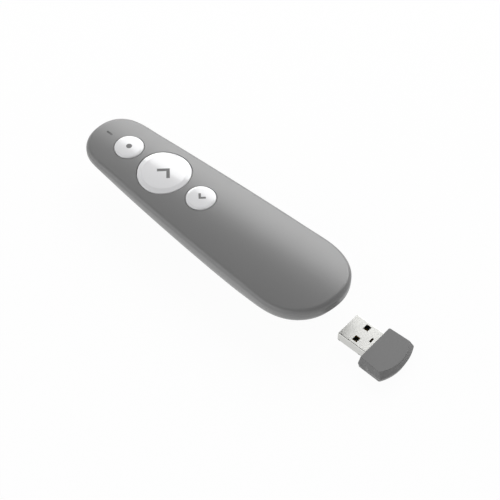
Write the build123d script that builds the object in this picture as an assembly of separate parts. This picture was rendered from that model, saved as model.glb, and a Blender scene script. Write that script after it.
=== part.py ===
from build123d import *
import math
import os

# Wireless presentation clicker with its USB receiver.
# Frame: +Z up from the surface both pieces lie on, +Y from the tail to the nose,
# +X to the right as it is held. y = 0 is half way along the handset.

# ------------------------------------------------------------------ driving dimensions (mm)
# Handset body: a boat hull with an upright side band and a crowned, rounded top.
LENGTH = 132.8
HEAD_HALF_WIDTH = 14.33
TAIL_HALF_WIDTH = 19.89
SIDE_BULGE = 0.6
HEAD_STATION = 54.0
TAIL_STATION = -43.2
HEAD_ROUNDING = 2.28
TAIL_ROUNDING = 2.09
RIM_Z = 13.9
TOP_Z = 18.47
CROWN_RADIUS = 67.0
EDGE_RADIUS = 2.1
KEEL_Z = -2.42
KEEL_HEAD_STATION = -24.4
KEEL_TAIL_STATION = -30.6
KEEL_HEAD_ROUNDING = 1.38
KEEL_TAIL_ROUNDING = 1.5
HULL_ROUNDING = 2.23
HULL_LEVELS = (0.0, 0.05, 0.15, 0.32, 0.55, 0.78, 1.0)
OUTLINE_POINTS = 32

WALL = 1.5
PARTING_Z = 6.9
PARTING_GAP = 0.12
LIP_HEIGHT = 1.2
LIP_ROOT = 0.8
LIP_THICKNESS = 0.8
FIT = 0.05

# Buttons, from the nose to the tail: centre y, radius, width and drop of the sloping border.
LASER_BUTTON = (47.4, 6.2, 1.1, 0.22)
NEXT_BUTTON = (26.75, 11.28, 2.1, 0.42)
BACK_BUTTON = (6.0, 6.2, 1.1, 0.22)
BUTTONS = (LASER_BUTTON, NEXT_BUTTON, BACK_BUTTON)
BUTTON_GAP = 0.3
BUTTON_PROUD = 0.5
BUTTON_EDGE = 0.25
BUTTON_SKIN = 1.1
BUTTON_WALL = 1.1
FLANGE_REACH = 0.8
FLANGE_THICKNESS = 0.65
PLUNGER_RADIUS = 1.6
DECK_Z = 16.25
DECK_CLEARANCE = 0.1
COLLAR_THICKNESS = 1.0

# Main board and what it carries.
BOARD_TOP = 14.65
BOARD_THICKNESS = 0.8
BOARD_HALF_WIDTH = 11.2
BOARD_TAIL = -4.0
BOARD_NOSE = 61.2
BOARD_NOSE_RADIUS = 10.0
BOARD_TAIL_RADIUS = 1.5
DOME_BASE = 0.1
DOME_HEIGHT = 0.4
DOME_RADIUS = 3.0
POST_RADIUS = 1.2
POST_PLACES = ((-10.0, -1.5), (10.0, -1.5), (-9.4, 39.2), (9.4, 39.2))

# Status light and laser.
LIGHT_Y = 59.2
LIGHT_LENGTH = 3.2
LIGHT_WIDTH = 0.9
LED_SIZE = (0.8, 1.6, 0.5)
PIPE_FOOT = (1.6, 3.6, 0.6)
LASER_RADIUS = 1.75
LASER_TUBE_WALL = 0.5
LASER_MOUTH = 3.0
LASER_TAIL = 42.0
LASER_NOSE = 55.3
WINDOW_RADIUS = 1.7
WINDOW_TAIL = 59.2

# Radio.
CHIP_SIZE = (5.0, 5.0, 0.85)
CHIP_Y = 32.0
SHIELD_SIZE = (10.0, 12.0, 1.6)
SHIELD_STOCK = 0.2

# AAA cell and its bay.
CELL_RADIUS = 5.25
CELL_LENGTH = 44.5
CELL_TAIL = -24.5
CELL_Z = 8.45
NUB_RADIUS = 1.9
NUB_HEIGHT = 0.8
CELL_EDGE = 0.4
BAY_WALL = 1.5
BAY_TAIL = -27.9
BAY_NOSE = 21.0
RAIL_THICKNESS = 1.2
RAIL_BOTTOM = 4.7
RAIL_TOP = 9.5
NOSE_WALL_TOP = 11.5
RIB_STATIONS = (-12.0, 4.0)
SPRING_STOCK = 0.25
SPRING_WIDTH = 4.0
SPRING_FOLD = 0.8
SPRING_REACH = 3.2
CONTACT_STOCK = 0.4
CONTACT_HALF = 4.0

DOOR_HALF_WIDTH = 8.0
DOOR_TAIL = -27.0
DOOR_NOSE = 24.0
DOOR_CORNER = 3.0
DOOR_GAP = 0.25
DOOR_TOP = 4.4
DOOR_RIB_STATIONS = (-18.0, -2.0)
DOOR_RIB_TOP = 2.9
DOOR_RIB_HALF = 4.5
SCOOP_FROM_NOSE = 1.8
SCOOP_RADIUS = 4.2
SCOOP_DEPTH = 0.8

# Receiver: plug tip at rest, and how far it slides home into the dock.
PLUG_TIP = -71.35
PLUG_WIDTH = 12.0
PLUG_HEIGHT = 4.5
PLUG_EXPOSED = 13.0
PLUG_BURIED = 4.0
PLUG_TOP = 5.4
PLUG_SKIN = 0.3
PLUG_CORNER = 0.5
WINDOW_SIZE = (2.5, 2.2)
WINDOW_X = 3.3
WINDOW_FROM_TIP = 6.7
SEAM_SLOT = (2.2, 0.9)
SEAM_SLOT_FROM_TIP = 11.4
SIDE_SLOT = (1.0, 0.7, 0.6)
SIDE_SLOTS_FROM_TIP = (0.85, 10.4)
TONGUE_HEIGHT = 1.9
TONGUE_SETBACK = 0.4
STRIP_HALF_WIDTH = 0.5
STRIP_HEIGHT = 0.12
STRIPS = ((-3.5, 1.1), (-1.0, 2.1), (1.0, 2.1), (3.5, 1.1))

# Receiver cap in plan, at its top and at the shoulder where it is widest:
# half width at the front, half width at the rear corners, their distance and the apex's from the tip.
CAP_TOP_PLAN = (8.85, 9.35, 22.45, 25.65)
CAP_SHOULDER_PLAN = (10.25, 10.3, 24.05, 26.65)
CAP_BASE_PLAN = (9.4, 9.6, 23.2, 25.9)
CAP_TOP = 5.75
CAP_SHOULDER_Z = 3.0
CAP_CORNER = 0.7
CAP_EDGE = 0.3
CAP_WALL = 0.9
CAP_ROOM_LENGTH = 9.2
NOTCH_FROM_TIP = 16.4
NOTCH_RADIUS = 2.7
NOTCH_DEPTH = 0.65
NOTCH_TOP = 4.2
RECEIVER_BOARD = (7.5, 4.8, 0.8)
RECEIVER_CHIP = (2.0, 3.4, 0.8)

# Dock in the handset's belly.
DOCK_TRAVEL = 41.6
DOCK_CLEARANCE = 0.25
DOCK_WALL = 1.2
CATCH_HALF = 3.0
CATCH_DEPTH = 0.9
CATCH_STOCK = 0.3
CATCH_FROM_TIP = (3.5, 12.0)

SCREW_PLACES = ((-10.8, -33.5), (10.8, -33.5))
SCREW_RADIUS = 1.0
SCREW_HEAD_RADIUS = 1.9
SCREW_HEAD_HEIGHT = 1.2
SCREW_SEAT_Z = 3.2
SCREW_LENGTH = 7.0
SCREW_CROSS = (0.5, 2.2)
BOSS_RADIUS = 2.8
BOSS_STEP = 0.5

BIG = 200.0

# ------------------------------------------------------------------ handset form


def rounded_end(part_way, exponent):
    """Superellipse quadrant: 1 at part_way 0, falling to 0 at part_way 1."""
    share = min(max(part_way, 0.0), 1.0)
    return (1.0 - share**exponent) ** (1.0 / exponent)


def rim_half_width(y, inset):
    """Half the width of the handset at its widest level."""
    end = LENGTH / 2 - inset
    along = (y - TAIL_STATION) / (HEAD_STATION - TAIL_STATION)
    side = TAIL_HALF_WIDTH + (HEAD_HALF_WIDTH - TAIL_HALF_WIDTH) * along
    side += SIDE_BULGE * 4 * along * (1 - along) - inset
    head = rounded_end((y - HEAD_STATION) / (end - HEAD_STATION), HEAD_ROUNDING)
    tail = rounded_end((TAIL_STATION - y) / (TAIL_STATION + end), TAIL_ROUNDING)
    return side * head * tail


def keel_height(y, inset):
    """Height of the hull's lowest line, before the belly is cut flat."""
    end = LENGTH / 2 - inset
    head = (y - KEEL_HEAD_STATION) / (end - KEEL_HEAD_STATION)
    tail = (KEEL_TAIL_STATION - y) / (KEEL_TAIL_STATION + end)
    rise = 2.0 - rounded_end(head, KEEL_HEAD_ROUNDING) - rounded_end(tail, KEEL_TAIL_ROUNDING)
    low = KEEL_Z + inset
    return low + (RIM_Z - low) * rise


def hull_half_width(y, z, inset):
    depth = (RIM_Z - z) / max(RIM_Z - keel_height(y, inset), 1e-6)
    return rim_half_width(y, inset) * rounded_end(depth, HULL_ROUNDING)


def keel_station(z, inset, inner, outer):
    """Station between inner and outer where the keel has risen to height z."""
    for _ in range(48):
        middle = (inner + outer) / 2
        if keel_height(middle, inset) < z:
            inner = middle
        else:
            outer = middle
    return inner


def waterline(z, inset):
    """The hull's closed outline at height z, as a face."""
    end = LENGTH / 2 - inset
    tail = keel_station(z, inset, KEEL_TAIL_STATION, -end)
    head = keel_station(z, inset, KEEL_HEAD_STATION, end)
    points = []
    for step in range(OUTLINE_POINTS):
        turn = 2 * math.pi * step / OUTLINE_POINTS
        y = (tail + head) / 2 - (head - tail) / 2 * math.cos(turn)
        side = hull_half_width(y, z, inset)
        points.append((math.copysign(side, math.sin(turn)), y, z))
    return Face(Wire([Edge.make_spline([Vector(*p) for p in points], periodic=True)]))


def hull(inset):
    """Belly to rim: a loft through waterlines, closer together where the belly turns."""
    levels = [inset + (RIM_Z - inset) * share for share in HULL_LEVELS]
    return loft([waterline(z, inset) for z in levels])


def crown(inset):
    """All that lies under the crowned top, which is an arc across and straight along Y."""
    return rod(0, TOP_Z - inset - CROWN_RADIUS, CROWN_RADIUS, -LENGTH, LENGTH)


def upper_body(inset):
    """Rim to crown, with its top edge rounded."""
    band = extrude(waterline(RIM_Z, inset), amount=TOP_Z - RIM_Z, dir=(0, 0, 1))
    body = band & crown(inset)
    top_face = body.faces().sort_by(Axis.Z)[-1]
    return fillet(top_face.edges(), EDGE_RADIUS - inset)


def handset_form(inset):
    return hull(inset) + upper_body(inset)


def slab(low, high):
    """Everything between two heights."""
    return Pos(0, 0, (low + high) / 2) * Box(BIG, BIG, high - low)


def block(x_low, x_high, y_low, y_high, z_low, z_high):
    centre = Pos((x_low + x_high) / 2, (y_low + y_high) / 2, (z_low + z_high) / 2)
    return centre * Box(x_high - x_low, y_high - y_low, z_high - z_low)


def post(x, y, radius, z_low, z_high):
    return Pos(x, y, (z_low + z_high) / 2) * Cylinder(radius, z_high - z_low)


def rod(x, z, radius, y_low, y_high):
    """A cylinder along Y."""
    return Pos(x, (y_low + y_high) / 2, z) * Rot(90, 0, 0) * Cylinder(radius, y_high - y_low)


OUTER = handset_form(0.0)
INNER = handset_form(WALL)


# ------------------------------------------------------------------ top cover


def light_slot(clearance, z_low, z_high):
    shape = SlotOverall(LIGHT_LENGTH + 2 * clearance, LIGHT_WIDTH + 2 * clearance, rotation=90)
    return Pos(0, LIGHT_Y, z_low) * extrude(shape, amount=z_high - z_low)


def roof_post(x, y, radius, z_low):
    """A post that hangs from inside the top cover's roof."""
    roof = TOP_Z - WALL / 2 - x**2 / (2 * CROWN_RADIUS)
    return post(x, y, radius, z_low, roof)


def button_columns(reach, z_low, z_high):
    """One column round each button, wider than the button by reach."""
    columns = Part()
    for y, radius, *_ in BUTTONS:
        columns += post(0, y, radius + reach, z_low, z_high)
    return columns


def top_cover():
    """Shell with a collar under the roof round each button, board posts and screw bosses."""
    flange_room = FLANGE_REACH + BUTTON_GAP
    collars = button_columns(flange_room + COLLAR_THICKNESS, DECK_Z, TOP_Z)
    shell = (OUTER & slab(PARTING_Z, TOP_Z + 1)) - (INNER - collars)
    shell -= button_columns(BUTTON_GAP, BOARD_TOP, TOP_Z + 1)
    shell -= button_columns(flange_room, BOARD_TOP, DECK_Z)
    shell -= light_slot(FIT, BOARD_TOP, TOP_Z)
    for x, y in POST_PLACES:
        shell += roof_post(x, y, POST_RADIUS, BOARD_TOP)
    for x, y in SCREW_PLACES:
        shell += roof_post(x, y, BOSS_RADIUS, PARTING_Z + BOSS_STEP)
        shell -= post(x, y, SCREW_RADIUS, PARTING_Z, SCREW_SEAT_Z + SCREW_LENGTH + BOSS_STEP)
    return shell - rod(0, laser_axis_z(), WINDOW_RADIUS + FIT, WINDOW_TAIL - 1, LENGTH / 2 + 1)


# ------------------------------------------------------------------ bottom case


def door_prism(clearance):
    """The battery door's outline, as a column through the belly."""
    wide = 2 * (DOOR_HALF_WIDTH + clearance)
    long = DOOR_NOSE - DOOR_TAIL + 2 * clearance
    outline = RectangleRounded(wide, long, DOOR_CORNER + clearance)
    return Pos(0, (DOOR_NOSE + DOOR_TAIL) / 2, -1) * extrude(outline, amount=DOOR_TOP + 1)


def parting_lip():
    """Tongue inside the rim of the bottom case, which locates the top cover."""
    outline = waterline(PARTING_Z, WALL + FIT) - waterline(PARTING_Z, WALL + FIT + LIP_THICKNESS)
    return Pos(0, 0, -LIP_ROOT) * extrude(outline, amount=LIP_ROOT + LIP_HEIGHT, dir=(0, 0, 1))


def dock_housing():
    """Walls and roof round the receiver's dock."""
    cap_half = CAP_SHOULDER_PLAN[1] + DOCK_CLEARANCE + DOCK_WALL
    plug_half = PLUG_WIDTH / 2 + DOCK_CLEARANCE + DOCK_WALL
    roof = PARTING_Z - PARTING_GAP
    cap_front = PLUG_TIP + DOCK_TRAVEL - PLUG_EXPOSED
    cap_wall = cap_front + DOCK_CLEARANCE + DOCK_WALL
    walls = block(-cap_half, cap_half, -LENGTH / 2, cap_wall, 0, roof)
    return walls + block(-plug_half, plug_half, cap_front, BAY_TAIL, 0, roof)


def dock_space():
    """What the dock leaves free: the plug's channel, the cap's wider pocket, the catch's recess."""
    roof = PLUG_TOP + DOCK_CLEARANCE
    plug_half = PLUG_WIDTH / 2 + DOCK_CLEARANCE
    cap_half = CAP_SHOULDER_PLAN[1] + DOCK_CLEARANCE
    tip = PLUG_TIP + DOCK_TRAVEL
    cap_front = tip - PLUG_EXPOSED + DOCK_CLEARANCE
    channel = block(-plug_half, plug_half, cap_front - 1, tip + DOCK_CLEARANCE, -1, roof)
    pocket = block(-cap_half, cap_half, -LENGTH / 2 - 1, cap_front, -1, CAP_TOP + DOCK_CLEARANCE)
    pocket = fillet(pocket.edges().filter_by(Axis.Z).group_by(Axis.Y)[-1], CAP_CORNER)
    near, far = CATCH_FROM_TIP
    half = CATCH_HALF + DOCK_CLEARANCE
    recess = block(-half, half, tip - far - FIT, tip - near + FIT, roof - FIT, roof + CATCH_DEPTH)
    return channel + pocket + recess


def battery_cradle():
    """End walls, side rails and ribs that hold the cell over the door opening."""
    rail_inner = CELL_RADIUS + FIT
    rail_outer = rail_inner + RAIL_THICKNESS
    tail_half = rail_outer + BOSS_RADIUS
    tail_wall = block(-tail_half, tail_half, BAY_TAIL - BAY_WALL, BAY_TAIL, 0, RAIL_TOP)
    rim = PARTING_Z - PARTING_GAP
    nose_rib = block(-BIG / 2, BIG / 2, BAY_NOSE, BAY_NOSE + BAY_WALL, RAIL_BOTTOM, rim)
    nose_wall = block(-rail_outer, rail_outer, BAY_NOSE, BAY_NOSE + BAY_WALL, RAIL_BOTTOM, NOSE_WALL_TOP)
    frame = tail_wall + nose_rib + nose_wall
    for side in (-1, 1):
        x = sorted((side * rail_inner, side * rail_outer))
        frame += block(x[0], x[1], BAY_TAIL - BAY_WALL, BAY_NOSE + BAY_WALL, RAIL_BOTTOM, RAIL_TOP)
        for y in RIB_STATIONS:
            reach = sorted((side * rail_inner, side * BIG / 2))
            frame += block(reach[0], reach[1], y, y + RAIL_THICKNESS, RAIL_BOTTOM, rim)
    return frame


def screw_bosses():
    bosses = Part()
    for x, y in SCREW_PLACES:
        bosses += post(x, y, BOSS_RADIUS, 0, PARTING_Z + BOSS_STEP)
    return bosses


def screw_holes():
    holes = Part()
    for x, y in SCREW_PLACES:
        holes += post(x, y, SCREW_RADIUS + FIT, 0, PARTING_Z + 1)
        holes += post(x, y, SCREW_HEAD_RADIUS + 2 * FIT, -1, SCREW_SEAT_Z)
    return holes


def bottom_case():
    """Belly shell with the dock, cell bay and screw bosses standing in it."""
    rim = PARTING_Z - PARTING_GAP
    fittings = dock_housing() + battery_cradle() + screw_bosses()
    shell = (hull(0) & slab(0, rim)) - (hull(WALL) - fittings)
    risers = fittings & slab(rim, NOSE_WALL_TOP)
    cradle = battery_cradle() & slab(RAIL_BOTTOM, NOSE_WALL_TOP)
    openings = door_prism(DOOR_GAP) + dock_space() + screw_holes()
    return (shell + risers + parting_lip()) - (openings - cradle)


def battery_door():
    """Belly panel with a trough and ribs under the cell, and a nail scoop at its nose end."""
    door = (OUTER & door_prism(0)) - INNER
    for y in DOOR_RIB_STATIONS:
        door += block(-DOOR_RIB_HALF, DOOR_RIB_HALF, y, y + RAIL_THICKNESS, WALL / 2, DOOR_RIB_TOP)
    door -= rod(0, CELL_Z, CELL_RADIUS + 2 * FIT, DOOR_TAIL, CELL_TAIL + CELL_LENGTH + FIT)
    scoop_y = DOOR_NOSE - SCOOP_FROM_NOSE
    scoop_z = keel_height(scoop_y, 0) + SCOOP_DEPTH - SCOOP_RADIUS
    return door - Pos(0, scoop_y, scoop_z) * Sphere(SCOOP_RADIUS)


# ------------------------------------------------------------------ buttons


def round_button(y, radius, border_width, border_drop):
    """A hollow cap whose face follows the crown, with a sloping border, a flange and a plunger."""
    flange_top = DECK_Z - DECK_CLEARANCE
    foot = flange_top - FLANGE_THICKNESS
    cap = post(0, y, radius, foot, TOP_Z + 1) & crown(-BUTTON_PROUD)
    face = cap.faces().sort_by(Axis.Z)[-1]
    cap = chamfer(face.edges(), border_width, border_drop, reference=face)
    border = cap.faces().sort_by(Axis.Z)[-2]
    cap = chamfer(border.edges().sort_by(SortBy.LENGTH)[-1], BUTTON_EDGE)
    cap += post(0, y, radius + FLANGE_REACH, foot, flange_top)
    hollow = post(0, y, radius - BUTTON_WALL, foot - 1, TOP_Z) & crown(BUTTON_SKIN - BUTTON_PROUD)
    return cap - (hollow - post(0, y, PLUNGER_RADIUS, foot - 1, TOP_Z))


# ------------------------------------------------------------------ board, switches, light, laser


def laser_axis_z():
    return BOARD_TOP - BOARD_THICKNESS - LASER_RADIUS


def main_board():
    width = 2 * BOARD_HALF_WIDTH
    outline = Pos(0, (BOARD_NOSE + BOARD_TAIL) / 2) * Rectangle(width, BOARD_NOSE - BOARD_TAIL)
    nose = outline.vertices().group_by(Axis.Y)[-1]
    outline = fillet(nose, BOARD_NOSE_RADIUS)
    outline = fillet(outline.vertices().group_by(Axis.Y)[0], BOARD_TAIL_RADIUS)
    board = extrude(outline, amount=BOARD_THICKNESS)
    return Pos(0, 0, BOARD_TOP - BOARD_THICKNESS) * board


def block_at(y, size, z_low):
    """A block centred on x = 0 that stands on height z_low."""
    return Pos(0, y, z_low + size[2] / 2) * Box(*size)


def dome_switch(y):
    """Snap dome: a shallow steel bowl on a square base plate."""
    base = block_at(y, (2 * DOME_RADIUS, 2 * DOME_RADIUS, DOME_BASE), BOARD_TOP)
    rise = DOME_HEIGHT - DOME_BASE
    radius = (DOME_RADIUS**2 + rise**2) / (2 * rise)
    ball = Pos(0, y, BOARD_TOP + DOME_HEIGHT - radius) * Sphere(radius)
    return base + (ball & post(0, y, DOME_RADIUS - DOME_BASE, BOARD_TOP + DOME_BASE, TOP_Z))


def status_led():
    return block_at(LIGHT_Y, LED_SIZE, BOARD_TOP)


def light_pipe():
    """Clear bar in the roof's slot, on a wider foot just above the light."""
    foot_z = BOARD_TOP + LED_SIZE[2]
    return (light_slot(0, foot_z + PIPE_FOOT[2], TOP_Z) & OUTER) + block_at(LIGHT_Y, PIPE_FOOT, foot_z)


def laser_barrel():
    """Turned brass barrel with a grip groove near its tail and a bored mouth."""
    z = laser_axis_z()
    bore = LASER_RADIUS - LASER_TUBE_WALL
    barrel = rod(0, z, LASER_RADIUS, LASER_TAIL, LASER_NOSE)
    barrel -= rod(0, z, bore, LASER_NOSE - LASER_MOUTH, LASER_NOSE + 1)
    groove_y = LASER_TAIL + LASER_RADIUS
    groove = rod(0, z, LASER_RADIUS + 1, groove_y, groove_y + LASER_TUBE_WALL)
    core = rod(0, z, LASER_RADIUS - LASER_TUBE_WALL / 2, LASER_TAIL, LASER_NOSE)
    return barrel - (groove - core)


def laser_lens():
    """Lens with one domed face, seated at the bottom of the barrel's mouth."""
    z = laser_axis_z()
    seat = LASER_NOSE - LASER_MOUTH
    lens = rod(0, z, LASER_RADIUS - LASER_TUBE_WALL, seat, LASER_NOSE)
    return lens & (Pos(0, seat, z) * Sphere(LASER_RADIUS))


def laser_window():
    plug = rod(0, laser_axis_z(), WINDOW_RADIUS, WINDOW_TAIL, LENGTH / 2 + 1)
    return plug & OUTER


def radio_chip():
    return block_at(CHIP_Y, CHIP_SIZE, BOARD_TOP - BOARD_THICKNESS - CHIP_SIZE[2])


def radio_shield():
    """Pressed steel can over the radio chip, open towards the board."""
    width, length, height = SHIELD_SIZE
    low = BOARD_TOP - BOARD_THICKNESS - height
    can = block_at(CHIP_Y, SHIELD_SIZE, low)
    can = fillet(can.edges().filter_by(Axis.Z), 4 * SHIELD_STOCK)
    room = (width - 2 * SHIELD_STOCK, length - 2 * SHIELD_STOCK, height)
    return can - block_at(CHIP_Y, room, low + SHIELD_STOCK)


# ------------------------------------------------------------------ cell and contacts


def aaa_cell():
    nose = CELL_TAIL + CELL_LENGTH
    can = rod(0, CELL_Z, CELL_RADIUS, CELL_TAIL, nose - NUB_HEIGHT)
    can = fillet(can.edges(), CELL_EDGE)
    return can + rod(0, CELL_Z, NUB_RADIUS, nose - NUB_HEIGHT - CELL_EDGE, nose)


def negative_spring():
    """Folded leaf: a plate on the tail wall of the bay and a bowed tongue against the cell."""
    back = BAY_TAIL + SPRING_STOCK / 2
    fold = back + 2 * SPRING_FOLD
    touch = CELL_TAIL - SPRING_STOCK / 2 - FIT
    low = CELL_Z - SPRING_REACH
    high = CELL_Z + SPRING_REACH
    plate = Line((back, high), (back, low))
    bend = ThreePointArc((back, low), (back + SPRING_FOLD, low - SPRING_FOLD), (fold, low))
    tongue = ThreePointArc((fold, low), (touch, CELL_Z), (fold, high))
    leaf = trace([plate, bend, tongue], SPRING_STOCK)
    return extrude(Plane.YZ * leaf, amount=SPRING_WIDTH / 2, both=True)


def positive_contact():
    """Nickel plate on the nose wall of the bay, with a foot folded up to the board."""
    nose = CELL_TAIL + CELL_LENGTH
    back = BAY_NOSE - CONTACT_STOCK
    drop = CONTACT_HALF - CONTACT_STOCK
    plate = block(-CONTACT_HALF, CONTACT_HALF, back, BAY_NOSE, CELL_Z - drop, CELL_Z + drop)
    bump = rod(0, CELL_Z, NUB_RADIUS - CONTACT_STOCK, nose, BAY_NOSE - CONTACT_STOCK / 2)
    half = CONTACT_HALF / 2
    strip = block(-half, half, back, BAY_NOSE, CELL_Z, BOARD_TOP - BOARD_THICKNESS)
    return plate + bump + strip


def case_screws():
    """Two cross-head screws with chamfered heads."""
    head_z = SCREW_SEAT_Z - SCREW_HEAD_HEIGHT
    slot, span = SCREW_CROSS
    screws = Part()
    for x, y in SCREW_PLACES:
        head = post(x, y, SCREW_HEAD_RADIUS, head_z, SCREW_SEAT_Z)
        head = chamfer(head.edges().group_by(Axis.Z)[0], SCREW_HEAD_HEIGHT / 4)
        for width, length in ((slot, span), (span, slot)):
            head -= Pos(x, y, head_z) * Box(width, length, SCREW_HEAD_HEIGHT)
        screws += head + post(x, y, SCREW_RADIUS, SCREW_SEAT_Z, SCREW_SEAT_Z + SCREW_LENGTH)
    return screws


def dock_catch():
    """Forked leaf in the dock's roof, over the plug's windows."""
    tip = PLUG_TIP + DOCK_TRAVEL
    top = PLUG_TOP + DOCK_CLEARANCE + CATCH_DEPTH
    low = top - CATCH_STOCK
    near, far = CATCH_FROM_TIP
    leaf = block(-CATCH_HALF, CATCH_HALF, tip - far, tip - near, low, top)
    gap = CATCH_HALF / 3
    return leaf - block(-gap, gap, tip - far - 1, tip - 2 * near, low - 1, top + 1)


# ------------------------------------------------------------------ receiver


def from_tip(distance):
    return PLUG_TIP - distance


def cap_outline(z, plan):
    """Plan of the cap at height z: straight front, slightly spread sides, arc end, soft corners."""
    front_half, corner_half, corner_from_tip, apex_from_tip = plan
    front = from_tip(PLUG_EXPOSED)
    corner = from_tip(corner_from_tip)
    apex = from_tip(apex_from_tip)
    sides = Polyline(
        (corner_half, corner),
        (front_half, front),
        (-front_half, front),
        (-corner_half, corner),
    )
    end = ThreePointArc((-corner_half, corner), (0, apex), (corner_half, corner))
    outline = make_face([*sides.edges(), end])
    return Pos(0, 0, z) * fillet(outline.vertices(), CAP_CORNER)


def cap_form():
    """Widest at the shoulder, drawn in above it to the flat top and below it to the base."""
    shoulder = cap_outline(CAP_SHOULDER_Z, CAP_SHOULDER_PLAN)
    top = loft([shoulder, cap_outline(CAP_TOP, CAP_TOP_PLAN)])
    base = loft([cap_outline(0, CAP_BASE_PLAN), shoulder])
    top = fillet(top.edges().group_by(Axis.Z)[-1], CAP_EDGE)
    return top + base


def cap_cavity():
    """Room for the board and the buried end of the plug."""
    front = from_tip(PLUG_EXPOSED)
    low = PLUG_TOP - PLUG_HEIGHT
    half = PLUG_WIDTH / 2
    mouth = block(-half, half, front - PLUG_BURIED, front + 1, low, PLUG_TOP)
    mouth = fillet(mouth.edges().filter_by(Axis.Y), PLUG_CORNER)
    side = CAP_TOP_PLAN[0] - CAP_WALL
    back = front - CAP_WALL - CAP_ROOM_LENGTH
    return mouth + block(-side, side, back, front - CAP_WALL, CAP_WALL, CAP_TOP - CAP_WALL)


def grip_notches():
    """A shallow hollow in each side of the shoulder, for finger tips."""
    notches = Part()
    for side in (-1, 1):
        x = side * (CAP_SHOULDER_PLAN[0] + NOTCH_RADIUS - NOTCH_DEPTH)
        notches += post(x, from_tip(NOTCH_FROM_TIP), NOTCH_RADIUS, -1, NOTCH_TOP)
    return notches


def receiver_upper_shell():
    return (cap_form() & slab(CAP_SHOULDER_Z, CAP_TOP + 1)) - cap_cavity() - grip_notches()


def receiver_lower_shell():
    return (cap_form() & slab(-1, CAP_SHOULDER_Z)) - cap_cavity() - grip_notches()


def plug_block():
    """The plug's outer form, rounded on its long edges."""
    low = PLUG_TOP - PLUG_HEIGHT
    half = PLUG_WIDTH / 2
    body = block(-half, half, from_tip(PLUG_EXPOSED + PLUG_BURIED), PLUG_TIP, low, PLUG_TOP)
    return fillet(body.edges().filter_by(Axis.Y), PLUG_CORNER)


def usb_plug_shell():
    """Folded steel tube with two windows above and below, side slots and the fold's lock slot."""
    low = PLUG_TOP - PLUG_HEIGHT
    half = PLUG_WIDTH / 2 - PLUG_SKIN
    back = from_tip(PLUG_EXPOSED + PLUG_BURIED) - 1
    tube = plug_block() - block(-half, half, back, PLUG_TIP + 1, low + PLUG_SKIN, PLUG_TOP - PLUG_SKIN)
    for side in (-1, 1):
        tube -= Pos(side * WINDOW_X, from_tip(WINDOW_FROM_TIP)) * Box(*WINDOW_SIZE, BIG)
        for distance in SIDE_SLOTS_FROM_TIP:
            place = Pos(side * PLUG_WIDTH / 2, from_tip(distance), low + PLUG_CORNER)
            tube -= place * Box(*SIDE_SLOT)
    return tube - Pos(0, from_tip(SEAM_SLOT_FROM_TIP), PLUG_TOP) * Box(*SEAM_SLOT, 1)


def plug_floor():
    """Height of the plug's inner lower face."""
    return PLUG_TOP - PLUG_HEIGHT + PLUG_SKIN


def usb_tongue():
    """Insulator that fills the lower half of the plug."""
    low = plug_floor()
    half = PLUG_WIDTH / 2 - PLUG_SKIN
    back = from_tip(PLUG_EXPOSED + PLUG_BURIED)
    tongue = block(-half, half, back, PLUG_TIP - TONGUE_SETBACK, low, low + TONGUE_HEIGHT)
    return chamfer(tongue.edges().group_by(Axis.Y)[-1].sort_by(Axis.Z)[-1], TONGUE_SETBACK)


def contact_strips():
    """Four gold strips; the outer two reach further forward."""
    low = plug_floor() + TONGUE_HEIGHT
    back = from_tip(PLUG_EXPOSED + PLUG_BURIED)
    half = STRIP_HALF_WIDTH
    strips = Part()
    for x, setback in STRIPS:
        strips += block(x - half, x + half, back, PLUG_TIP - setback, low, low + STRIP_HEIGHT)
    return strips


def receiver_board_top():
    return plug_floor() + TONGUE_HEIGHT / 2 + RECEIVER_BOARD[2] / 2


def receiver_board():
    half, length, thickness = RECEIVER_BOARD
    back = from_tip(PLUG_EXPOSED + PLUG_BURIED)
    top = receiver_board_top()
    return block(-half, half, back - length, back, top - thickness, top)


def receiver_chip():
    half, length, height = RECEIVER_CHIP
    middle = from_tip(PLUG_EXPOSED + PLUG_BURIED) - RECEIVER_BOARD[1] / 2
    low = receiver_board_top()
    return block(-half, half, middle - length / 2, middle + length / 2, low, low + height)


# ------------------------------------------------------------------ write one STEP per node

NODES = {
    "top_cover": top_cover,
    "bottom_case": bottom_case,
    "battery_door": battery_door,
    "laser_button": lambda: round_button(*LASER_BUTTON),
    "next_button": lambda: round_button(*NEXT_BUTTON),
    "back_button": lambda: round_button(*BACK_BUTTON),
    "main_board": main_board,
    "laser_switch": lambda: dome_switch(LASER_BUTTON[0]),
    "next_switch": lambda: dome_switch(NEXT_BUTTON[0]),
    "back_switch": lambda: dome_switch(BACK_BUTTON[0]),
    "status_led": status_led,
    "light_pipe": light_pipe,
    "laser_barrel": laser_barrel,
    "laser_lens": laser_lens,
    "laser_window": laser_window,
    "radio_chip": radio_chip,
    "radio_shield": radio_shield,
    "aaa_cell": aaa_cell,
    "negative_spring": negative_spring,
    "positive_contact": positive_contact,
    "case_screws": case_screws,
    "dock_catch": dock_catch,
    "receiver_upper_shell": receiver_upper_shell,
    "receiver_lower_shell": receiver_lower_shell,
    "usb_plug_shell": usb_plug_shell,
    "usb_tongue": usb_tongue,
    "contact_strips": contact_strips,
    "receiver_board": receiver_board,
    "receiver_chip": receiver_chip,
}

os.makedirs("parts", exist_ok=True)
for name, build in NODES.items():
    export_step(build(), f"parts/{name}.step")
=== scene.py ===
import math

import bmesh
import bpy
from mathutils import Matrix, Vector
from mathutils.bvhtree import BVHTree


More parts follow.
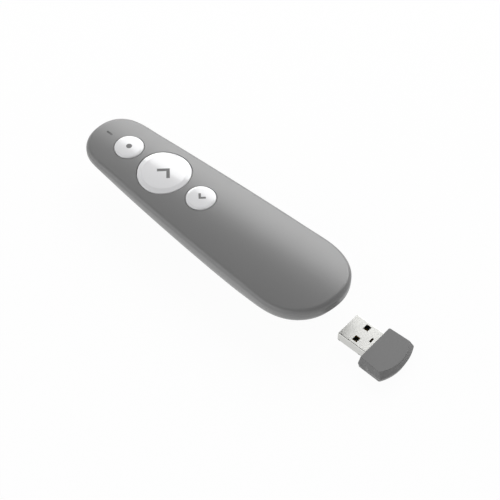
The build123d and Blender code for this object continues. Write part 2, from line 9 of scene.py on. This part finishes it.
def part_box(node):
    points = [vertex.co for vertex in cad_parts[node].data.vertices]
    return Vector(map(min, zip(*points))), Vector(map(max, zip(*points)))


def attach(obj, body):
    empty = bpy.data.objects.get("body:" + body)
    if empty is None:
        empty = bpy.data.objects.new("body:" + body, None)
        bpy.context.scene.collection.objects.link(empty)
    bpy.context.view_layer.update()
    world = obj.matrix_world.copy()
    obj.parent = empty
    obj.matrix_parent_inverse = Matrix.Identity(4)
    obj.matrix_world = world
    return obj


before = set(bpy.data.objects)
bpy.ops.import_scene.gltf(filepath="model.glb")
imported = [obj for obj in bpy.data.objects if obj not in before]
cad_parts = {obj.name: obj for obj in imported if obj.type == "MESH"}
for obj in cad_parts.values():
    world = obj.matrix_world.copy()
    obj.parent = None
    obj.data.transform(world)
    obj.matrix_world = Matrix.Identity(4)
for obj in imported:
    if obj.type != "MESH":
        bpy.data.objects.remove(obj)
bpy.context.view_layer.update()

MM = 0.001

# ------------------------------------------------------------------ camera, in mm and degrees
CAMERA_AZIMUTH = -47.70
CAMERA_ELEVATION = 52.07
CAMERA_DISTANCE = 471.05
CAMERA_TARGET = (4.20, -16.76, 0.0)
CAMERA_LENS = 83.23
SENSOR_WIDTH = 36.0

# ------------------------------------------------------------------ light and floor
# Levels are radiance, angles are degrees, and the floor's drop is in mm. The lamps and the floor's
# half width are in metres. Levels and angles came from comparing small renders with the photograph.
WALL_LEVEL = 0.85
CEILING_LEVEL = 0.1
WALL_TOP = 17.0
CEILING_EDGE = 50.0
BOX_LEVEL = 4.6
BOX_TOP = 49.76
BOX_LOW = 16.4
BOX_AZIMUTH = 26.44
BOX_SPREAD = 62.62
FILL_LEVEL = 1.15
FILL_TOP = 47.88
FILL_LOW = 5.0
FILL_AZIMUTH = 155.23
FILL_SPREAD = 65.68
LAMP_DISTANCE = 0.9
FLOOR_HALF = 12.0
FLOOR_DROP = 0.02
FLOOR_ALBEDO = 0.9
FLOOR_GLOW = 0.96

# ------------------------------------------------------------------ printed marks, in mm
INK_HEIGHT = 0.03
INK_SINK = 0.05
DOT_RADIUS = 1.25
DOT_CELLS = 12
NEXT_CHEVRON = {"reach": 3.7, "thickness": 1.4, "tip": 2.5, "point": 1, "shift": -0.65}
BACK_CHEVRON = {"reach": 2.06, "thickness": 0.98, "tip": 1.38, "point": -1, "shift": 0.0}
CHEVRON_STEPS = 10

# ------------------------------------------------------------------ surface texture, in mm
FLOW_CLOUD = 20.0
GLOSS_PATCH = 4.0
SPARK_GRAIN = 0.18
TARNISH_CLOUD = 6.0
BRUSH_LINE = 0.12
BRUSH_GLOSS = 0.4
EPOXY_GRAIN = 0.08
TRACK_PITCHES = (("X", 1.7), ("Y", 2.3))
TRACK_EDGE = (0.82, 0.88)
PAD_SPACING = 3.1
PAD_EDGE = (0.13, 0.16)
RESIST_RELIEF = 0.03
WAVE_PERIOD = 0.3  # a wave texture of scale 1 repeats about every 0.3 m
PLASTIC_CLOUD = (0.97, 1.03)
METAL_CLOUD = (0.93, 1.04)
PLASTIC_SWING = 0.03
METAL_SWING = 0.06
PIN_ONE_INSET = 6  # the mark lies one part in six of the chip's side in from its corner
PIN_ONE_EDGE = (0.45, 0.5)

# ------------------------------------------------------------------ cell sleeve, as shares of its length
SLEEVE_TAIL = 0.018
SLEEVE_BAND = 0.74
SLEEVE_NOSE = 0.955
SLEEVE_SEAM = 0.001

# ------------------------------------------------------------------ colours
SHELL_GREY = (0.208, 0.208, 0.208)
BUTTON_WHITE = (0.79, 0.79, 0.80)
INK_GREY = (0.17, 0.17, 0.17)
STEEL = (0.62, 0.62, 0.60)
NICKEL = (0.66, 0.64, 0.60)
BLACK_ZINC = (0.10, 0.10, 0.11)
GOLD = (0.85, 0.60, 0.24)
BRASS = (0.72, 0.52, 0.25)
EPOXY_BLACK = (0.022, 0.022, 0.024)
TONGUE_BLACK = (0.008, 0.016, 0.012)
RESIST_GREEN = (0.010, 0.060, 0.028)
TRACK_GREEN = (0.022, 0.125, 0.055)
SLEEVE_BLACK = (0.03, 0.035, 0.045)
SLEEVE_COPPER = (0.62, 0.30, 0.09)
PIPE_TAIL = (0.085, 0.085, 0.085)
PIPE_NOSE = (0.02, 0.02, 0.02)
LED_YELLOW = (0.80, 0.76, 0.48)
LENS_CLEAR = (0.92, 0.93, 0.98)
WINDOW_RED = (0.05, 0.008, 0.01)


# ------------------------------------------------------------------ node helpers


def new_material(name):
    material = bpy.data.materials.new(name)
    material.use_nodes = True
    return material


def shader_of(material):
    return material.node_tree.nodes["Principled BSDF"]


def add_node(tree, kind, **values):
    """A shader node, with properties and sockets set by name."""
    node = tree.nodes.new(kind)
    for key, value in values.items():
        if hasattr(node, key):
            setattr(node, key, value)
        else:
            node.inputs[key.replace("_", " ")].default_value = value
    return node


def output_of(node, kind):
    return next(socket for socket in node.outputs if socket.type == kind and socket.enabled)


def object_place(tree, stretch=(1.0, 1.0, 1.0)):
    """Object coordinates, multiplied by stretch."""
    coordinates = add_node(tree, "ShaderNodeTexCoord")
    mapping = add_node(tree, "ShaderNodeMapping", Scale=stretch)
    tree.links.new(coordinates.outputs["Object"], mapping.inputs["Vector"])
    return mapping.outputs["Vector"]


def axis_place(tree, axis):
    """One object coordinate, in metres."""
    split = add_node(tree, "ShaderNodeSeparateXYZ")
    tree.links.new(object_place(tree), split.inputs["Vector"])
    return split.outputs[axis]


def noise(tree, size, detail=2.0, stretch=(1.0, 1.0, 1.0)):
    """Noise whose features are about size metres across, drawn out where stretch is small."""
    texture = add_node(tree, "ShaderNodeTexNoise", Scale=1.0 / size, Detail=detail)
    tree.links.new(object_place(tree, stretch), texture.inputs["Vector"])
    return texture.outputs["Fac"]


def scaled(tree, fac, out_low, out_high, in_low=0.0, in_high=1.0, smooth=False):
    """fac between in_low and in_high, spread over out_low to out_high."""
    spread = add_node(
        tree,
        "ShaderNodeMapRange",
        interpolation_type="SMOOTHSTEP" if smooth else "LINEAR",
        From_Min=in_low,
        From_Max=in_high,
        To_Min=out_low,
        To_Max=out_high,
    )
    tree.links.new(fac, spread.inputs["Value"])
    return spread.outputs["Result"]


def either(tree, fac, low, high):
    """A colour between low and high; each is a colour or another node's output."""
    mix = add_node(tree, "ShaderNodeMix", data_type="RGBA")
    tree.links.new(fac, mix.inputs["Factor"])
    ends = [socket for socket in mix.inputs if socket.type == "RGBA"]
    for socket, colour in zip(ends, (low, high)):
        if isinstance(colour, tuple):
            socket.default_value = (*colour, 1.0)
        else:
            tree.links.new(colour, socket)
    return output_of(mix, "RGBA")


def combine(tree, operation, first, second):
    node = add_node(tree, "ShaderNodeMath", operation=operation)
    for socket, value in zip(node.inputs, (first, second)):
        if isinstance(value, float):
            socket.default_value = value
        else:
            tree.links.new(value, socket)
    return node.outputs["Value"]


def bump(material, height, distance):
    tree = material.node_tree
    node = add_node(tree, "ShaderNodeBump", Distance=distance)
    tree.links.new(height, node.inputs["Height"])
    tree.links.new(node.outputs["Normal"], shader_of(material).inputs["Normal"])


def paint(material, colour):
    material.node_tree.links.new(colour, shader_of(material).inputs["Base Color"])


def gloss(material, low, high, size, stretch=(1.0, 1.0, 1.0)):
    """Roughness that wanders between low and high."""
    tree = material.node_tree
    value = scaled(tree, noise(tree, size, stretch=stretch), low, high)
    tree.links.new(value, shader_of(material).inputs["Roughness"])


def shade(colour, factor):
    return tuple(channel * factor for channel in colour)


# ------------------------------------------------------------------ materials


def moulded_plastic(name, colour, roughness, specular, grain, grain_size=SPARK_GRAIN * MM):
    """Fine spark-eroded grain, faint flow clouds, slightly uneven gloss."""
    material = new_material(name)
    tree = material.node_tree
    clouds = noise(tree, FLOW_CLOUD * MM, detail=3.0)
    dark, light = PLASTIC_CLOUD
    paint(material, either(tree, clouds, shade(colour, dark), shade(colour, light)))
    gloss(material, roughness - PLASTIC_SWING, roughness + PLASTIC_SWING, GLOSS_PATCH * MM)
    shader_of(material).inputs["Specular IOR Level"].default_value = specular
    bump(material, noise(tree, grain_size), grain)
    return material


def brushed_metal(name, colour, roughness, grain, stretch):
    """Rolled or brushed sheet: hair lines along one axis and faint cloudy tarnish."""
    material = new_material(name)
    tree = material.node_tree
    clouds = noise(tree, TARNISH_CLOUD * MM, detail=4.0)
    dark, light = METAL_CLOUD
    paint(material, either(tree, clouds, shade(colour, dark), shade(colour, light)))
    gloss(material, roughness - METAL_SWING, roughness + METAL_SWING, BRUSH_GLOSS * MM, stretch)
    shader_of(material).inputs["Metallic"].default_value = 1.0
    bump(material, noise(tree, BRUSH_LINE * MM, stretch=stretch), grain)
    return material


def turned_metal(name, colour, roughness, pitch, depth):
    """Lathe rings round the Y axis."""
    material = brushed_metal(name, colour, roughness, depth, (1.0, 1.0, 1.0))
    tree = material.node_tree
    rings = add_node(tree, "ShaderNodeTexWave", bands_direction="Y", Scale=WAVE_PERIOD / pitch)
    rings.inputs["Distortion"].default_value = 0.4
    tree.links.new(object_place(tree), rings.inputs["Vector"])
    bump(material, rings.outputs["Fac"], depth)
    return material


def epoxy_chip(name, node_name):
    """Blasted black epoxy with a round pin-one mark near a corner."""
    material = moulded_plastic(
        name, EPOXY_BLACK, roughness=0.55, specular=0.4, grain=0.006 * MM, grain_size=EPOXY_GRAIN * MM
    )
    tree = material.node_tree
    low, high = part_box(node_name)
    inset = (high.y - low.y) / PIN_ONE_INSET
    distance = add_node(tree, "ShaderNodeVectorMath", operation="DISTANCE")
    tree.links.new(object_place(tree), distance.inputs[0])
    distance.inputs[1].default_value = (low.x + inset, low.y + inset, high.z)
    inner, outer = PIN_ONE_EDGE
    mark = scaled(tree, distance.outputs["Value"], 1.0, 0.0, inset * inner, inset * outer)
    paint(material, either(tree, mark, EPOXY_BLACK, shade(EPOXY_BLACK, 4)))
    return material


def solder_resist(name):
    """Green laminate with raised copper tracks under the resist and scattered gold pads."""
    material = new_material(name)
    tree = material.node_tree
    masks = []
    for direction, pitch in TRACK_PITCHES:
        wave = add_node(tree, "ShaderNodeTexWave", bands_direction=direction, Distortion=1.6)
        wave.inputs["Scale"].default_value = WAVE_PERIOD / (pitch * MM)
        wave.inputs["Detail Scale"].default_value = 0.6
        tree.links.new(object_place(tree), wave.inputs["Vector"])
        masks.append(scaled(tree, wave.outputs["Fac"], 0.0, 1.0, *TRACK_EDGE))
    tracks = combine(tree, "MAXIMUM", *masks)
    pads = add_node(tree, "ShaderNodeTexVoronoi", Scale=1 / (PAD_SPACING * MM))
    tree.links.new(object_place(tree), pads.inputs["Vector"])
    spots = scaled(tree, pads.outputs["Distance"], 1.0, 0.0, *PAD_EDGE)
    green = either(tree, tracks, RESIST_GREEN, TRACK_GREEN)
    paint(material, either(tree, spots, green, GOLD))
    gloss(material, 0.28, 0.4, 1.5 * MM)
    bump(material, combine(tree, "MAXIMUM", tracks, spots), RESIST_RELIEF * MM)
    return material


def cell_sleeve(name):
    """Printed sleeve in two plain tones on a steel can, bare at both ends."""
    material = new_material(name)
    tree = material.node_tree
    low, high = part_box("aaa_cell")
    length = high.y - low.y
    ramp = add_node(tree, "ShaderNodeValToRGB")
    ramp.color_ramp.interpolation = "CONSTANT"
    bands = [
        (0.0, NICKEL),
        (SLEEVE_TAIL, SLEEVE_BLACK),
        (SLEEVE_BAND, SLEEVE_COPPER),
        (SLEEVE_NOSE, NICKEL),
    ]
    while len(ramp.color_ramp.elements) < len(bands):
        ramp.color_ramp.elements.new(0.5)
    for element, (place, colour) in zip(ramp.color_ramp.elements, bands):
        element.position = place
        element.color = (*colour, 1.0)
    along = axis_place(tree, "Y")
    tree.links.new(scaled(tree, along, 0.0, 1.0, low.y, low.y + length), ramp.inputs["Fac"])
    paint(material, output_of(ramp, "RGBA"))
    tail = low.y + SLEEVE_TAIL * length
    nose = low.y + SLEEVE_NOSE * length
    seam = SLEEVE_SEAM * length
    bare_tail = scaled(tree, along, 1.0, 0.0, tail - seam, tail)
    bare_nose = scaled(tree, along, 0.0, 1.0, nose, nose + seam)
    bare = combine(tree, "MAXIMUM", bare_tail, bare_nose)
    tree.links.new(bare, shader_of(material).inputs["Metallic"])
    gloss(material, 0.22, 0.32, 3 * MM)
    bump(material, noise(tree, 1.2 * MM), 0.01 * MM)
    return material


def clear_plastic(name, colour, roughness, transmission):
    """Tinted clear plastic with faint flow clouds inside."""
    material = new_material(name)
    tree = material.node_tree
    clouds = noise(tree, 1.5 * MM, detail=3.0)
    paint(material, either(tree, clouds, shade(colour, 0.9), shade(colour, 1.1)))
    gloss(material, roughness, roughness + 0.06, 0.6 * MM)
    shader_of(material).inputs["Transmission Weight"].default_value = transmission
    return material


def smoked_pipe(name):
    """Smoked light pipe, its colour darker towards the nose end."""
    material = clear_plastic(name, SHELL_GREY, roughness=0.3, transmission=0.0)
    tree = material.node_tree
    low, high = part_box("light_pipe")
    fade = scaled(tree, axis_place(tree, "Y"), 0.0, 1.0, low.y, high.y, smooth=True)
    paint(material, either(tree, fade, PIPE_TAIL, PIPE_NOSE))
    return material


def phosphor(name):
    """Light-emitting diode: a milky, pale yellow block."""
    material = clear_plastic(name, LED_YELLOW, roughness=0.25, transmission=0.3)
    shader_of(material).inputs["Subsurface Weight"].default_value = 0.3
    return material


def dress(material, *node_names):
    for node_name in node_names:
        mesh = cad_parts[node_name].data
        mesh.materials.clear()
        mesh.materials.append(material)


ALONG_Y = (1.0, 0.04, 1.0)
ALONG_X = (0.04, 1.0, 1.0)
NO_GRAIN = (1.0, 1.0, 1.0)

white_plastic = moulded_plastic(
    "button_white", BUTTON_WHITE, roughness=0.12, specular=0.75, grain=0.002 * MM
)
ink = moulded_plastic("ink_grey", INK_GREY, roughness=0.5, specular=0.3, grain=0.002 * MM)
shell = moulded_plastic("shell_grey", SHELL_GREY, roughness=0.32, specular=0.5, grain=0.004 * MM)
case = moulded_plastic("case_grey", SHELL_GREY, roughness=0.5, specular=0.3, grain=0.006 * MM)
cap = moulded_plastic("receiver_grey", SHELL_GREY, roughness=0.5, specular=0.3, grain=0.006 * MM)
plug = brushed_metal("plug_steel", STEEL, roughness=0.42, grain=0.002 * MM, stretch=ALONG_Y)
tongue = moulded_plastic("tongue_black", TONGUE_BLACK, roughness=0.4, specular=0.5, grain=0.004 * MM)
gold = brushed_metal("contact_gold", GOLD, roughness=0.25, grain=0.002 * MM, stretch=ALONG_Y)
dome = brushed_metal("dome_steel", STEEL, roughness=0.25, grain=0.001 * MM, stretch=ALONG_X)
shield = brushed_metal("shield_nickel", NICKEL, roughness=0.3, grain=0.002 * MM, stretch=ALONG_Y)
spring = brushed_metal("spring_nickel", NICKEL, roughness=0.28, grain=0.002 * MM, stretch=ALONG_X)
screw = brushed_metal("screw_zinc", BLACK_ZINC, roughness=0.35, grain=0.004 * MM, stretch=NO_GRAIN)
barrel = turned_metal("barrel_brass", BRASS, roughness=0.25, pitch=0.15 * MM, depth=0.004 * MM)
lens = clear_plastic("lens", LENS_CLEAR, roughness=0.02, transmission=0.95)
window = clear_plastic("window_tint", WINDOW_RED, roughness=0.08, transmission=0.5)

dress(shell, "top_cover")
dress(case, "bottom_case", "battery_door")
dress(cap, "receiver_upper_shell", "receiver_lower_shell")
dress(white_plastic, "laser_button", "next_button", "back_button")
dress(plug, "usb_plug_shell")
dress(tongue, "usb_tongue")
dress(gold, "contact_strips")
dress(solder_resist("board"), "main_board", "receiver_board")
dress(epoxy_chip("radio_epoxy", "radio_chip"), "radio_chip")
dress(epoxy_chip("receiver_epoxy", "receiver_chip"), "receiver_chip")
dress(dome, "laser_switch", "next_switch", "back_switch")
dress(shield, "radio_shield")
dress(spring, "negative_spring", "positive_contact", "dock_catch")
dress(screw, "case_screws")
dress(barrel, "laser_barrel")
dress(lens, "laser_lens")
dress(window, "laser_window")
dress(smoked_pipe("light_pipe"), "light_pipe")
dress(phosphor("led"), "status_led")
dress(cell_sleeve("cell"), "aaa_cell")


# ------------------------------------------------------------------ printed marks


def printed(name, node_name, body, columns):
    """A thin closed layer of ink on a button. columns is a grid of plan places, row by row."""
    tree = BVHTree.FromObject(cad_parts[node_name], bpy.context.evaluated_depsgraph_get())
    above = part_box(node_name)[1].z + 10 * MM
    mesh = bmesh.new()
    layers = []
    for lift in (INK_HEIGHT * MM, -INK_SINK * MM):
        layer = []
        for row in columns:
            line = []
            for x, y in row:
                hit = tree.ray_cast(Vector((x, y, above)), Vector((0, 0, -1)))[0]
                line.append(mesh.verts.new((x, y, hit.z + lift)))
            layer.append(line)
        layers.append(layer)
    rows, width = len(columns), len(columns[0])
    for row in range(rows - 1):
        for step in range(width - 1):
            for layer in layers:
                mesh.faces.new(
                    (layer[row][step], layer[row][step + 1], layer[row + 1][step + 1], layer[row + 1][step])
                )
    edge = [(0, step) for step in range(width)]
    edge += [(row, width - 1) for row in range(1, rows)]
    edge += [(rows - 1, step) for step in range(width - 2, -1, -1)]
    edge += [(row, 0) for row in range(rows - 2, 0, -1)]
    upper, lower = layers
    for (row, step), (next_row, next_step) in zip(edge, edge[1:] + edge[:1]):
        top = (upper[row][step], upper[next_row][next_step])
        bottom = (lower[next_row][next_step], lower[row][step])
        mesh.faces.new(top + bottom)
    bmesh.ops.recalc_face_normals(mesh, faces=mesh.faces)
    data = bpy.data.meshes.new(name)
    mesh.to_mesh(data)
    mesh.free()
    data.materials.append(ink)
    piece = bpy.data.objects.new(name, data)
    bpy.context.scene.collection.objects.link(piece)
    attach(piece, body)


def button_centre(node_name):
    low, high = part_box(node_name)
    return (low.x + high.x) / 2, (low.y + high.y) / 2


def chevron_grid(centre, reach, thickness, tip, point, shift):
    """Two mitred arms at 45 degrees, as a grid from one arm's end to the other's."""
    x, y = centre
    notch = thickness * math.sqrt(2)
    cut = thickness / math.sqrt(2)
    steps = range(-CHEVRON_STEPS, CHEVRON_STEPS + 1)
    grid = []
    for step in steps:
        side = math.copysign(1, step)
        share = abs(step) / CHEVRON_STEPS
        row = []
        for across in (0.0, 0.5, 1.0):
            start = Vector((tip - across * notch, 0.0))
            end = Vector((tip - reach - across * cut, side * (reach - across * cut)))
            spot = start.lerp(end, share)
            row.append((x + point * spot.x * MM, y + (shift + spot.y) * MM))
        grid.append(row)
    return grid


def dot_grid(centre, radius):
    """A square grid pressed into a disc."""
    x, y = centre
    marks = [2 * step / DOT_CELLS - 1 for step in range(DOT_CELLS + 1)]
    grid = []
    for u in marks:
        line = []
        for v in marks:
            across = radius * u * math.sqrt(1 - v * v / 2)
            along = radius * v * math.sqrt(1 - u * u / 2)
            line.append((x + across * MM, y + along * MM))
        grid.append(line)
    return grid


printed("laser_dot", "laser_button", "laser_key", dot_grid(button_centre("laser_button"), DOT_RADIUS))
printed("next_chevron", "next_button", "next_key", chevron_grid(button_centre("next_button"), **NEXT_CHEVRON))
printed("back_chevron", "back_button", "back_key", chevron_grid(button_centre("back_button"), **BACK_CHEVRON))


# ------------------------------------------------------------------ floor, light, camera


def seen_rays(tree):
    """1 for camera, glossy and transmission rays, otherwise 0."""
    path = add_node(tree, "ShaderNodeLightPath")
    mirrored = combine(tree, "MAXIMUM", path.outputs["Is Glossy Ray"], path.outputs["Is Transmission Ray"])
    return combine(tree, "MAXIMUM", path.outputs["Is Camera Ray"], mirrored)


def studio_floor():
    """White floor: seen as white, with the object's shadow left in it."""
    data = bpy.data.meshes.new("floor")
    half = FLOOR_HALF
    corners = [(-half, -half, 0), (half, -half, 0), (half, half, 0), (-half, half, 0)]
    data.from_pydata(corners, [], [(0, 1, 2, 3)])
    floor = bpy.data.objects.new("floor", data)
    bpy.context.scene.collection.objects.link(floor)
    floor.location.z = -FLOOR_DROP * MM
    material = new_material("floor_white")
    tree = material.node_tree
    shader = shader_of(material)
    shader.inputs["Base Color"].default_value = (FLOOR_ALBEDO, FLOOR_ALBEDO, FLOOR_ALBEDO, 1)
    shader.inputs["Roughness"].default_value = 1.0
    shader.inputs["Specular IOR Level"].default_value = 0.0
    glow = add_node(tree, "ShaderNodeEmission", Strength=1.0)
    blend = add_node(tree, "ShaderNodeMixShader")
    tree.links.new(scaled(tree, seen_rays(tree), 0.0, FLOOR_GLOW), blend.inputs["Fac"])
    tree.links.new(shader.outputs["BSDF"], blend.inputs[1])
    tree.links.new(glow.outputs["Emission"], blend.inputs[2])
    tree.links.new(blend.outputs["Shader"], tree.nodes["Material Output"].inputs["Surface"])
    data.materials.append(material)


def studio_sky():
    """Pale walls all round that fade into a dim ceiling; the camera sees plain white."""
    world = bpy.data.worlds.new("studio")
    world.use_nodes = True
    bpy.context.scene.world = world
    tree = world.node_tree
    coordinates = add_node(tree, "ShaderNodeTexCoord")
    split = add_node(tree, "ShaderNodeSeparateXYZ")
    tree.links.new(coordinates.outputs["Generated"], split.inputs["Vector"])
    low = math.sin(math.radians(WALL_TOP))
    high = math.sin(math.radians(CEILING_EDGE))
    level = scaled(tree, split.outputs["Z"], WALL_LEVEL, CEILING_LEVEL, low, high, smooth=True)
    path = add_node(tree, "ShaderNodeLightPath")
    strength = combine(tree, "MAXIMUM", level, path.outputs["Is Camera Ray"])
    tree.links.new(strength, tree.nodes["Background"].inputs["Strength"])
    tree.nodes["Background"].inputs["Color"].default_value = (1, 1, 1, 1)


def softbox(name, azimuth, low, high, spread, level):
    """A rectangular light seen between two elevations. Azimuth is from +X towards +Y."""
    middle = math.radians((low + high) / 2)
    tall = 2 * LAMP_DISTANCE * math.tan(math.radians(high - low) / 2)
    wide = 2 * LAMP_DISTANCE * math.tan(math.radians(spread) / 2)
    data = bpy.data.lights.new(name, "AREA")
    data.shape = "RECTANGLE"
    data.size = wide
    data.size_y = tall
    data.energy = level * math.pi * wide * tall
    lamp = bpy.data.objects.new(name, data)
    bpy.context.scene.collection.objects.link(lamp)
    turn = math.radians(azimuth)
    out = Vector((math.cos(turn) * math.cos(middle), math.sin(turn) * math.cos(middle), math.sin(middle)))
    lamp.location = out * LAMP_DISTANCE
    lamp.rotation_mode = "QUATERNION"
    lamp.rotation_quaternion = out.to_track_quat("Z", "Y")


def camera():
    data = bpy.data.cameras.new("camera")
    data.sensor_width = SENSOR_WIDTH
    data.sensor_fit = "HORIZONTAL"
    data.lens = CAMERA_LENS
    data.clip_start = 0.01
    data.clip_end = 50.0
    eye = bpy.data.objects.new("camera", data)
    bpy.context.scene.collection.objects.link(eye)
    turn = math.radians(CAMERA_AZIMUTH)
    rise = math.radians(CAMERA_ELEVATION)
    back = Vector((math.sin(turn) * math.cos(rise), -math.cos(turn) * math.cos(rise), math.sin(rise)))
    eye.location = (Vector(CAMERA_TARGET) + back * CAMERA_DISTANCE) * MM
    eye.rotation_mode = "QUATERNION"
    eye.rotation_quaternion = back.to_track_quat("Z", "Y")
    bpy.context.scene.camera = eye


studio_floor()
studio_sky()
softbox("key_box", BOX_AZIMUTH, BOX_LOW, BOX_TOP, BOX_SPREAD, BOX_LEVEL)
softbox("fill_box", FILL_AZIMUTH, FILL_LOW, FILL_TOP, FILL_SPREAD, FILL_LEVEL)
camera()
bpy.context.scene.view_settings.view_transform = "Standard"
